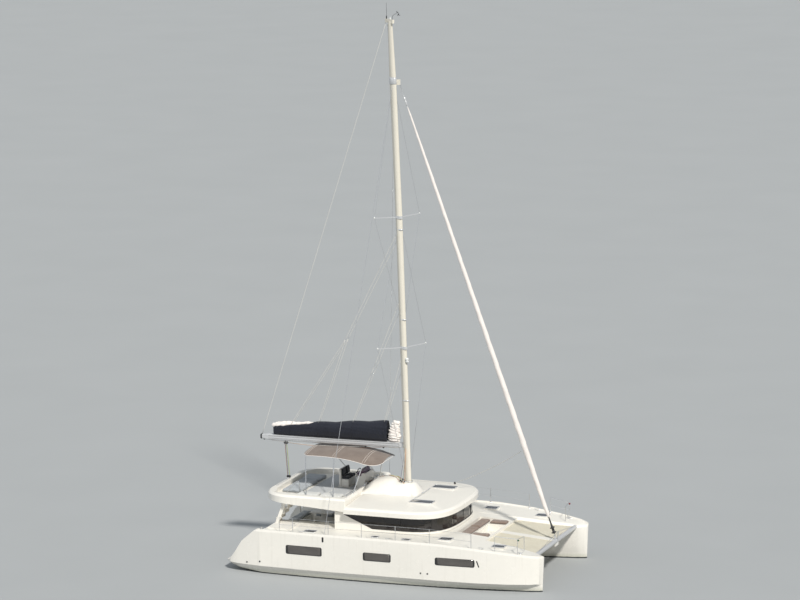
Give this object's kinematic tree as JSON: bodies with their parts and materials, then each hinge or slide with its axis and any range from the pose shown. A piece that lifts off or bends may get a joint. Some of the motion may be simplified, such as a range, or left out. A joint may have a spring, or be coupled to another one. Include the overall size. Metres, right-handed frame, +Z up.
{
  "type": "sailing catamaran",
  "caption": "Cruising catamaran afloat with its sails stowed: slim hulls, saloon, flybridge under a bimini, tall mast, boom with sail bag and furled headsail.",
  "frame": {"origin": "on the waterline, amidships, on the boat's centreline", "axes": "+X towards the bows, +Y to port, +Z up along the mast"},
  "size_m": [13.7394, 7.94, 24.16],
  "materials": {
    "gelcoat": "gloss",
    "antifoul": "matte",
    "drive_paint": "satin",
    "bronze": "satin",
    "dark_glass": "gloss",
    "mast_paint": "satin",
    "alloy": "anodised",
    "steel": "polished",
    "bag_cloth": "woven",
    "sailcloth": "woven",
    "bimini_cloth": "woven",
    "net": "netted",
    "cushion": "woven"
  },
  "bodies": {
    "boat": {"hull_starboard": "gelcoat", "hull_port": "gelcoat", "keel_starboard": "antifoul", "keel_port": "antifoul", "drive_leg_starboard": "drive_paint", "drive_leg_port": "drive_paint", "engine_starboard": "drive_paint", "engine_port": "drive_paint", "bridgedeck": "gelcoat", "deckhouse_walls": "gelcoat", "window_band": "dark_glass", "coachroof": "gelcoat", "saloon_fixed_pane": "dark_glass", "saloon_settee": "cushion", "flybridge": "gelcoat", "flybridge_steps": "gelcoat", "flybridge_strut_starboard": "gelcoat", "flybridge_strut_port": "gelcoat", "helm_console": "gelcoat", "helm_seat": "cushion", "flybridge_sunpad": "cushion", "bimini_canopy": "bimini_cloth", "bimini_frame": "steel", "mast": "mast_paint", "spreaders_lower": "alloy", "spreaders_upper": "alloy", "shroud_starboard": "steel", "shroud_port": "steel", "diamond_stay_starboard": "steel", "diamond_stay_port": "steel", "furled_genoa": "sailcloth", "crossbeam": "alloy", "longeron": "gelcoat", "trampoline_starboard": "net", "trampoline_port": "net", "forestay_striker": "steel", "anchor": "steel", "guardrail_starboard": "steel", "guardrail_port": "steel", "pulpit_starboard": "steel", "pulpit_port": "steel", "cockpit_settee": "cushion", "cockpit_table": "gelcoat"},
    "rudder_starboard": {"rudder_starboard": "antifoul"},
    "rudder_port": {"rudder_port": "antifoul"},
    "propeller_starboard": {"propeller_starboard": "bronze"},
    "propeller_port": {"propeller_port": "bronze"},
    "helm_wheel": {"helm_wheel": "steel"},
    "boom": {"boom": "alloy", "sail_bag": "bag_cloth", "mainsail_luff": "sailcloth"},
    "saloon_door": {"saloon_door": "dark_glass"},
    "hatch_forward_starboard": {"hatch_forward_starboard": "dark_glass"},
    "hatch_forward_port": {"hatch_forward_port": "dark_glass"},
    "hatch_middle_starboard": {"hatch_middle_starboard": "dark_glass"},
    "hatch_middle_port": {"hatch_middle_port": "dark_glass"},
    "roof_hatch_starboard": {"roof_hatch_starboard": "dark_glass"},
    "roof_hatch_port": {"roof_hatch_port": "dark_glass"},
    "engine_lid_starboard": {"engine_lid_starboard": "gelcoat"},
    "engine_lid_port": {"engine_lid_port": "gelcoat"}
  },
  "joints": [
    {"name": "rudder_port_turn", "type": "hinge", "parent": "boat", "child": "rudder_port", "pos_m": [-5.35, 2.97, -0.6], "axis": [0, 0, 1], "range_deg": [-35, 35]},
    {"name": "rudder_starboard_turn", "type": "hinge", "parent": "boat", "child": "rudder_starboard", "pos_m": [-5.35, -2.97, -0.6], "axis": [0, 0, 1], "range_deg": [-35, 35]},
    {"name": "helm_wheel_turn", "type": "hinge", "parent": "boat", "child": "helm_wheel", "pos_m": [-2.475, 0.62, 3.42], "axis": [1, 0, 0], "range_deg": [-350, 350]},
    {"name": "propeller_port_spin", "type": "hinge", "parent": "boat", "child": "propeller_port", "pos_m": [-4.175, 2.97, -0.9], "axis": [1, 0, 0], "continuous": true},
    {"name": "propeller_starboard_spin", "type": "hinge", "parent": "boat", "child": "propeller_starboard", "pos_m": [-4.175, -2.97, -0.9], "axis": [1, 0, 0], "continuous": true},
    {"name": "boom_swing", "type": "hinge", "parent": "boat", "child": "boom", "pos_m": [-0.3152, 0.1794, 4.96], "axis": [0, 0, 1], "range_deg": [-55, 45]},
    {"name": "saloon_door_slide", "type": "slide", "parent": "boat", "child": "saloon_door", "axis": [0, 1, 0], "range_m": [0, 0.95]},
    {"name": "hatch_forward_starboard_lift", "type": "hinge", "parent": "boat", "child": "hatch_forward_starboard", "pos_m": [5.19, -2.85, 1.7206], "axis": [0, 1, 0], "range_deg": [0, 85]},
    {"name": "hatch_forward_port_lift", "type": "hinge", "parent": "boat", "child": "hatch_forward_port", "pos_m": [5.19, 2.85, 1.7206], "axis": [0, 1, 0], "range_deg": [0, 85]},
    {"name": "hatch_middle_starboard_lift", "type": "hinge", "parent": "boat", "child": "hatch_middle_starboard", "pos_m": [2.92, -2.91, 1.8654], "axis": [0, 1, 0], "range_deg": [0, 85]},
    {"name": "hatch_middle_port_lift", "type": "hinge", "parent": "boat", "child": "hatch_middle_port", "pos_m": [2.92, 2.91, 1.8654], "axis": [0, 1, 0], "range_deg": [0, 85]},
    {"name": "roof_hatch_starboard_lift", "type": "hinge", "parent": "boat", "child": "roof_hatch_starboard", "pos_m": [1.57, -1.4, 2.9803], "axis": [0, 1, 0], "range_deg": [0, 85]},
    {"name": "roof_hatch_port_lift", "type": "hinge", "parent": "boat", "child": "roof_hatch_port", "pos_m": [1.57, 1.4, 2.9803], "axis": [0, 1, 0], "range_deg": [0, 85]},
    {"name": "engine_lid_starboard_lift", "type": "hinge", "parent": "boat", "child": "engine_lid_starboard", "pos_m": [-4.5, -3.43, 1.8803], "axis": [1, 0, 0], "range_deg": [0, 80]},
    {"name": "engine_lid_port_lift", "type": "hinge", "parent": "boat", "child": "engine_lid_port", "pos_m": [-4.5, 3.43, 1.8803], "axis": [-1, 0, 0], "range_deg": [0, 80]}
  ],
  "couplings": [
    {"joint": "rudder_starboard_turn", "follows": "rudder_port_turn", "ratio": 1},
    {"joint": "helm_wheel_turn", "follows": "rudder_port_turn", "ratio": -10}
  ]
}
